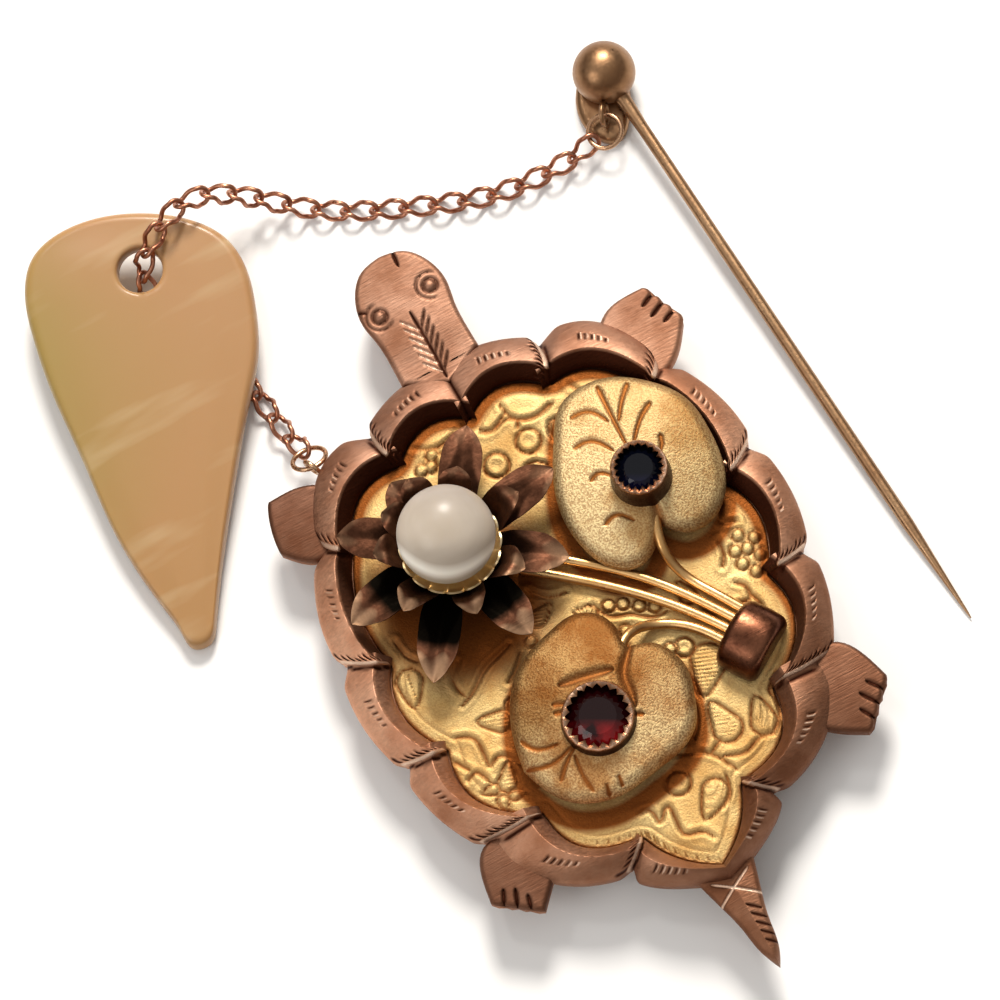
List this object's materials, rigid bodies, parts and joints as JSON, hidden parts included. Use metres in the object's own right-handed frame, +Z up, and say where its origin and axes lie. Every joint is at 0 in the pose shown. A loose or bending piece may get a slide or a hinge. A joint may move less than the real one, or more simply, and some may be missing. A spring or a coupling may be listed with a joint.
{
  "type": "turtle brooch",
  "caption": "Cast turtle brooch with a lotus, a pearl and two stone-set flowers, and a chain that carries a shell drop and a long stick pin.",
  "frame": {"origin": "middle of the bounding box in X and Y, on the surface that the brooch lies on", "axes": "+Z up from the surface, +Y towards the turtle's head, +X to the turtle's right"},
  "size_m": [0.0426, 0.0622, 0.0112],
  "materials": {
    "frame_copper": "brushed rose gold or copper",
    "plate_gold": "satin yellow gold, darkened in the grooves",
    "lotus_dark": "dark patina with worn tips",
    "cup_gold": "polished",
    "pearl": "pearl lustre",
    "flower_gold": "matt stippled gold",
    "bezel_gold": "polished",
    "blue_gem": "cut and polished",
    "garnet_gem": "cut and polished",
    "stem_gold": "polished",
    "collar_copper": "polished dark copper",
    "back_metal": "plain",
    "ring_gold": "polished",
    "chain_copper": "polished reddish copper",
    "drop_shell": "polished shell or stone with soft stripes",
    "pin_bronze": "polished brown gold"
  },
  "bodies": {
    "root": {"blue_bezel": "bezel_gold", "blue_flower": "flower_gold", "blue_stone": "blue_gem", "brooch_pin": "back_metal", "frame_ring": "ring_gold", "garnet_bezel": "bezel_gold", "garnet_flower": "flower_gold", "garnet_stone": "garnet_gem", "link_01": "chain_copper", "link_02": "chain_copper", "link_03": "chain_copper", "link_04": "chain_copper", "link_05": "chain_copper", "link_06": "chain_copper", "link_07": "chain_copper", "link_08": "chain_copper", "link_09": "chain_copper", "link_10": "chain_copper", "link_11": "chain_copper", "link_12": "chain_copper", "link_13": "chain_copper", "link_14": "chain_copper", "link_15": "chain_copper", "link_16": "chain_copper", "link_17": "chain_copper", "link_18": "chain_copper", "link_19": "chain_copper", "link_20": "chain_copper", "link_21": "chain_copper", "link_22": "chain_copper", "link_23": "chain_copper", "link_24": "chain_copper", "link_25": "chain_copper", "link_26": "chain_copper", "link_27": "chain_copper", "lotus_inner_petals": "lotus_dark", "lotus_outer_petals": "lotus_dark", "lotus_stem_a": "stem_gold", "lotus_stem_b": "stem_gold", "pearl": "pearl", "pearl_cup": "cup_gold", "pin_ring": "ring_gold", "shell_drop": "drop_shell", "shell_plate": "plate_gold", "stem_collar": "collar_copper", "stick_pin": "pin_bronze", "turtle_frame": "frame_copper"}
  },
  "joints": []
}
